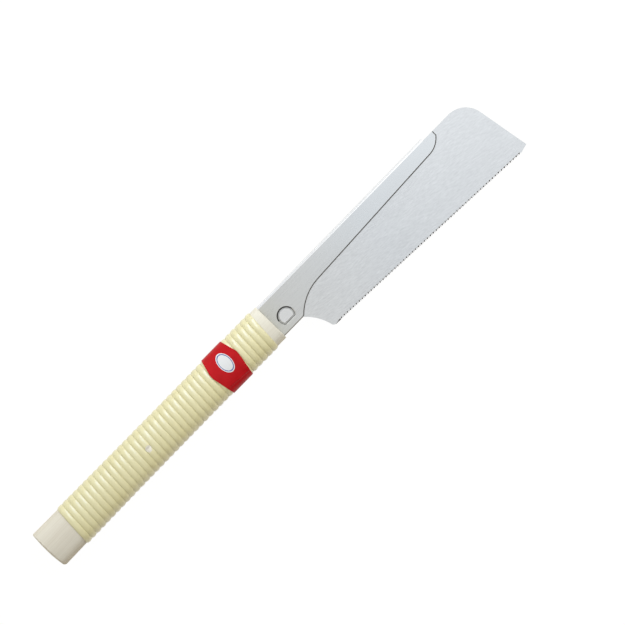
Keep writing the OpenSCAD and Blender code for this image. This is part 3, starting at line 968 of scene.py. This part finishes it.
def d_stud():
    """Stud that the blade hooks on, with its rivet closed over on the far side."""
    edge_r, edge_steps = 0.9, 5
    # How far the shank reaches into the stud, and the height, the rounding and the crown of its closed head
    sunk, head, head_round, head_crown = 0.1, 0.12, 0.35, 0.03
    stud = prism("d_stud", round_with_flat(STUD_R, STUD_FLAT), -HALF_SLOT, HALF_BACK)
    round_edges(stud, edge_r, edge_steps)
    rings = []
    for radius, z in ((RIVET_R, -HALF_SLOT + sunk), (RIVET_R, -HALF_BACK),
                      (RIVET_R - head_round, -HALF_BACK - head),
                      (RIVET_R / 2, -HALF_BACK - head - head_crown)):
        rings.append([(p.x, p.y, z) for p in circle(STUD_C, radius)])
    shank = mesh_object("shank", *loft(rings))
    smooth(shank)
    with_shank = bmesh.new()
    with_shank.from_mesh(stud.data)
    with_shank.from_mesh(shank.data)
    with_shank.to_mesh(stud.data)
    with_shank.free()
    bpy.data.objects.remove(shank)
    return stud


# Blade

def tooth_line(x):
    """Y of the tooth line at a place along the saw."""
    return -HEEL_DROP - (x - HANDLE_LEN - HEEL_X) * math.tan(math.radians(TOOTH_SLOPE))


def blade_points():
    """The blade's outline without its teeth, the roots of the teeth from heel to toe, and the directions
    along the teeth and out of them."""
    back_y = SPINE_Y - LEAF_T - SPINE_CLEAR
    heel = Vector((HANDLE_LEN + HEEL_X, -HEEL_DROP))
    toe_x = HANDLE_LEN + BLADE_REACH
    toe = Vector((toe_x, tooth_line(toe_x) + NOSE_LIFT))
    nose = Vector((toe_x - NOSE_LEN, tooth_line(toe_x - NOSE_LEN)))
    lean = math.radians(TOE_LEAN)
    toe_arc_y = back_y - TOE_R
    toe_arc_x = toe.x - (toe_arc_y - toe.y) * math.tan(lean) - TOE_R / math.cos(lean)
    throat = Vector((HANDLE_LEN + ROOT_LEN + THROAT_OUT[0], ROOT_Y + THROAT_OUT[1]))
    chord = throat - heel
    heel_sag = math.sqrt(HEEL_R ** 2 - chord.length_squared / 4)
    heel_c = (heel + throat) / 2 + heel_sag * Vector((-chord.y, chord.x)).normalized()
    slope = math.radians(TOOTH_SLOPE)
    along = Vector((math.cos(slope), -math.sin(slope)))
    out = Vector((-math.sin(slope), -math.cos(slope)))
    first = heel + HEEL_LEN * along
    teeth = math.floor((nose - first).dot(along) / TOOTH_PITCH)
    roots = [first + i * TOOTH_PITCH * along - TOOTH_H * out for i in range(teeth + 1)]
    # The round corner touches the tooth line and the hollow heel
    foot = heel - HEEL_CORNER_R * out
    back = (foot - heel_c).dot(along)
    reach = HEEL_R + HEEL_CORNER_R
    corner_c = foot + (math.sqrt(back ** 2 - (foot - heel_c).length_squared + reach ** 2) - back) * along
    corner_a = math.degrees(math.atan2(corner_c.y - heel_c.y, corner_c.x - heel_c.x))
    throat_a = math.degrees(math.atan2(throat.y - heel_c.y, throat.x - heel_c.x))
    outline = [
        Vector((STUD_C.x + HOOK_LEAD, back_y)),
        *arc((toe_arc_x, toe_arc_y), TOE_R, 90, TOE_LEAN, 24), toe, nose,
        *reversed(roots), first,
        *arc(corner_c, HEEL_CORNER_R, -90 - TOOTH_SLOPE, corner_a - 180, 8),
        *arc(heel_c, HEEL_R, corner_a, throat_a, 20),
        Vector((throat.x, STUD_C.y - HOOK_R)), *arc(STUD_C, HOOK_R, 270, HOOK_TOP_ANGLE, 24)]
    return outline, roots, along, out


def hook_mouth():
    """The round notch for the stud and the way out of it."""
    reach = HOOK_R + OVER
    notch_r = STUD_R + HOOK_CLEAR
    turn = math.radians(RELEASE_TURN)
    way = Vector((math.cos(turn), math.sin(turn)))
    up = Vector((-math.sin(turn), math.cos(turn)))
    low, high = -STUD_FLAT - HOOK_CLEAR, notch_r
    corners = [STUD_C + x * way + y * up for x, y in ((-reach, low), (0, low), (0, high), (-reach, high))]
    notch = round_cutter("notch", *STUD_C, notch_r, -OVER, OVER)
    return notch, prism("mouth", corners, -OVER, OVER)


def add_tooth(work, root, next_root, along, out, side):
    """One tooth between two roots, bent up where side is 1 and down where it is -1.
    A tooth that is bent up is ground away on top, and the others below."""
    corners = [(root, 0.0, 0.0)]
    for share, height, grind, lift in (TOOTH_POINT, TOOTH_TOP):
        place = root + share * TOOTH_PITCH * along + height * TOOTH_H * out
        corners.append((place, 2 * BLADE_HALF_T * grind, side * TOOTH_SET * lift))
    corners.append((next_root, 0.0, 0.0))
    tops, bottoms = [], []
    for p, thinned, lift in corners:
        top = BLADE_HALF_T - (thinned if side > 0 else 0)
        bottom = -BLADE_HALF_T + (thinned if side < 0 else 0)
        tops.append(work.verts.new(Vector((p.x, p.y, top + lift)) * MM))
        bottoms.append(work.verts.new(Vector((p.x, p.y, bottom + lift)) * MM))
    faces = [work.faces.new(tops), work.faces.new(reversed(bottoms))]
    for k in range(len(corners) - 1):
        faces.append(work.faces.new((tops[k], bottoms[k], bottoms[k + 1], tops[k + 1])))
    # Teeth bent up take the lighter material 1 and teeth bent down the darker material 2: painted light and
    # shade.
    for face in faces:
        face.material_index = 1 if side > 0 else 2


def saw_blade():
    """Thin plate with its teeth, which are bent to either side in turn."""
    outline, roots, along, out = blade_points()
    blade = prism("saw_blade", outline, -BLADE_HALF_T, BLADE_HALF_T)
    cut(blade, *hook_mouth())
    work = bmesh.new()
    work.from_mesh(blade.data)
    for i in range(len(roots) - 1):
        add_tooth(work, roots[i], roots[i + 1], along, out, -1 if i % 2 else 1)
    bmesh.ops.recalc_face_normals(work, faces=work.faces)
    work.to_mesh(blade.data)
    work.free()
    return blade


# Floor, light and camera

def white_floor():
    """Floor under the winding. The camera and reflections see it white, with part of the object's shadow."""
    half = 3000.0
    warm_white = (0.90, 0.83, 0.70, 1.0)
    glow, glow_share = 1.03, 0.95
    corners = [(-half, -half, REST_Z), (half, -half, REST_Z), (half, half, REST_Z), (-half, half, REST_Z)]
    floor = mesh_object("floor", corners, [(0, 1, 2, 3)])
    material = bpy.data.materials.new("white_floor")
    material.use_nodes = True
    tree = material.node_tree
    tree.nodes.clear()
    path = add_node(tree, "LightPath")
    seen = math_node(tree, "MAXIMUM", path.outputs["Is Camera Ray"], math_node(
        tree, "MAXIMUM", path.outputs["Is Glossy Ray"], path.outputs["Is Transmission Ray"]))
    matt = add_node(tree, "BsdfDiffuse", {"Color": warm_white})
    white = add_node(tree, "Emission", {"Color": (1.0, 1.0, 1.0, 1.0), "Strength": glow})
    share = math_node(tree, "MULTIPLY", seen, glow_share)
    shader = add_node(tree, "MixShader", {0: share, 1: matt.outputs["BSDF"], 2: white.outputs["Emission"]})
    add_node(tree, "OutputMaterial", {"Surface": shader.outputs["Shader"]})
    floor.data.materials.append(material)


def studio_world():
    """A soft studio: bright overhead and on the spine side, and dim and warm low on the tooth side.
    Reflections show a lighter and more neutral backdrop on the dim side."""
    bright_way = Vector((0.12, 0.60, 0.79)).normalized()
    dim_end, bright_end = -0.25, 0.82
    dim_level, bright_level = 0.05, 0.985
    warm, cool, neutral = (1.0, 0.77, 0.42), (0.94, 0.98, 1.0), (0.97, 0.98, 1.0)
    reflected_lift, neutral_share = 0.3, 0.6
    world = bpy.data.worlds.new("studio")
    bpy.context.scene.world = world
    world.use_nodes = True
    tree = world.node_tree
    tree.nodes.clear()
    place = add_node(tree, "TexCoord").outputs["Generated"]
    facing = add_node(tree, "VectorMath", {0: place, 1: bright_way}, operation="DOT_PRODUCT")
    share = map_range(tree, facing.outputs["Value"], dim_end, bright_end, interpolation_type="SMOOTHSTEP")
    tint = ramp(tree, share, (0.10, warm), (0.95, cool))
    reflected = add_node(tree, "LightPath").outputs["Is Glossy Ray"]
    tint = mix(tree, math_node(tree, "MULTIPLY", reflected, neutral_share), tint, neutral)
    dim = math_node(tree, "MULTIPLY_ADD", reflected, reflected_lift, dim_level)
    level = map_range(tree, share, 0.0, 1.0, dim, bright_level)
    back = add_node(tree, "Background", {"Color": tint, "Strength": level})
    add_node(tree, "OutputWorld", {"Surface": back.outputs["Background"]})


def area_light(name, place, aim_x, size, power):
    """A soft box, in metres, turned to a place on the saw's axis."""
    data = bpy.data.lights.new(name, "AREA")
    data.shape = "RECTANGLE"
    data.size, data.size_y = size
    data.energy = power
    lamp = scene_object(name, data)
    lamp.location = place
    lamp.rotation_euler = (Vector((aim_x, 0, 0)) - Vector(place)).to_track_quat("-Z", "Y").to_euler()
    lamp.visible_camera = False
    return lamp


def studio_lamps(windings):
    """A key by the toe, a card beside the handle, a low lamp on the spine side and one over the steel."""
    key = area_light("key", place=(0.98, 0.22, 0.80), aim_x=0.15, size=(1.2, 0.6), power=5.5)
    # Steel turned to the key would be blown out to white
    key.visible_glossy = False
    # The card only shows as a gleam on the cane
    card = area_light("card", place=(0.58, 0.59, 0.67), aim_x=0.14, size=(0.4, 0.85), power=6.4)
    card.data.color = (0.46, 0.60, 1.0)
    card.visible_diffuse = False
    card.light_linking.receiver_collection = bpy.data.collections.new("gleaming")
    for strip in windings:
        card.light_linking.receiver_collection.objects.link(strip)
    area_light("side", place=(0.42, 0.80, 0.35), aim_x=0.42, size=(0.9, 0.08), power=0.3)
    # The lamp over the steel only shows as a reflection
    top = area_light("top", place=(0.57, 0.10, 0.5), aim_x=0.5, size=(0.4, 0.4), power=0.32)
    top.visible_diffuse = False


def photo_camera():
    """Camera straight above the saw, turned so that the saw points up and to the right."""
    view_width = 500.0
    distance = 8000.0
    centre = (284.7, -18.3)
    turn = -45.72
    data = bpy.data.cameras.new("camera")
    data.sensor_width = 36.0
    data.lens = data.sensor_width * distance / view_width
    data.clip_end = 20.0
    camera = scene_object("camera", data)
    camera.location = Vector((*centre, distance)) * MM
    camera.rotation_euler = (0, 0, math.radians(turn))
    bpy.context.scene.camera = camera


# Build

wood = wood_material()
cane = cane_material()
pith = pith_material()
# Painted shade on the back: darker and warmer near the handle, lighter and cooler towards the tip.
back_shade_tones = ((0, (0.58, 0.575, 0.525)), (20, (0.60, 0.60, 0.585)), (110, (0.57, 0.593, 0.612)))
# Painted light and shade on the blade: lighter near the handle, darker and cooler towards the toe.
blade_light_tones = ((0, (0.73, 0.73, 0.72)), (110, (0.665, 0.685, 0.705)))
back_steel = brushed_steel("back_steel", back_shade_tones, streak=0.08, roughness=0.30,
                           line_scale=(30, 1500, 1500))
# Painted highlight: the fold gets a much lighter copy of the back's steel.
fold_highlight_steel = brushed_steel("fold_highlight_steel", one_tone(0.84, 0.84, 0.84), streak=0.02, roughness=0.26,
                           line_scale=(20, 200, 200), relief=0.02)
stud_steel = brushed_steel("stud_steel", one_tone(0.68, 0.68, 0.67), streak=0.04, roughness=0.32,
                           line_scale=(300, 600, 600))
blade_steel = brushed_steel("blade_steel", blade_light_tones, streak=0.25, roughness=0.36,
                            line_scale=(260, 2600, 2600), turn=-9)
pin_steel = brushed_steel("pin_steel", one_tone(0.45, 0.45, 0.46), streak=0.08, roughness=0.40,
                          line_scale=(900, 900, 60))
edge_look = {"streak": 0.10, "roughness": 0.34, "line_scale": (400, 400, 400)}
# The cut edge's dark steel is partly its duller sheared face and partly painted shade for the dark line
# beside the leaf's edge.
cut_edge_and_shade = brushed_steel("cut_edge_and_shade", one_tone(0.24, 0.24, 0.24), **edge_look)
# Painted shade: near-black steel in the stud's window, for the shadow in the ring round the stud.
window_shade_steel = brushed_steel("window_shade_steel", one_tone(0.09, 0.09, 0.09), **edge_look)
# Painted shade and light on the teeth: the dark copy on teeth bent down, the light one on teeth bent up;
# both also keep the tint of hardening.
shaded_tooth = tooth_material("shaded_tooth", (0.02, 0.018, 0.016), (0.06, 0.05, 0.04))
lit_tooth = tooth_material("lit_tooth", (0.46, 0.46, 0.46), (0.62, 0.62, 0.63))

put(wood_half("wood_upper", 1), "handle", "core_upper", "wood", wood)
put(wood_half("wood_lower", -1), "handle", "core_lower", "wood", wood)
windings = [winding("winding_front", 1, FRONT_TURNS + 0.5), winding("winding_rear", -1, REAR_TURNS + 0.5)]
for strip, node in zip(windings, ("cane_front", "cane_rear")):
    put(strip, "handle", node, "cane", cane, pith)
put(label_film(), "handle", "label_band", "label", label_material())
put(folded_back(), "handle", "back_channel", "back_steel", back_steel, cut_edge_and_shade, fold_highlight_steel, window_shade_steel)
put(d_stud(), "handle", "hook_stud", "stud_steel", stud_steel)
put(saw_blade(), "blade", "blade", "blade_steel", tint_heel(blade_steel), shaded_tooth, lit_tooth)
for name in ("tang_pin_front", "tang_pin_rear"):
    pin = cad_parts[name]
    pin.data.materials.clear()
    pin.data.materials.append(pin_steel)

white_floor()
studio_world()
studio_lamps(windings)
photo_camera()
bpy.context.scene.view_settings.view_transform = "Standard"
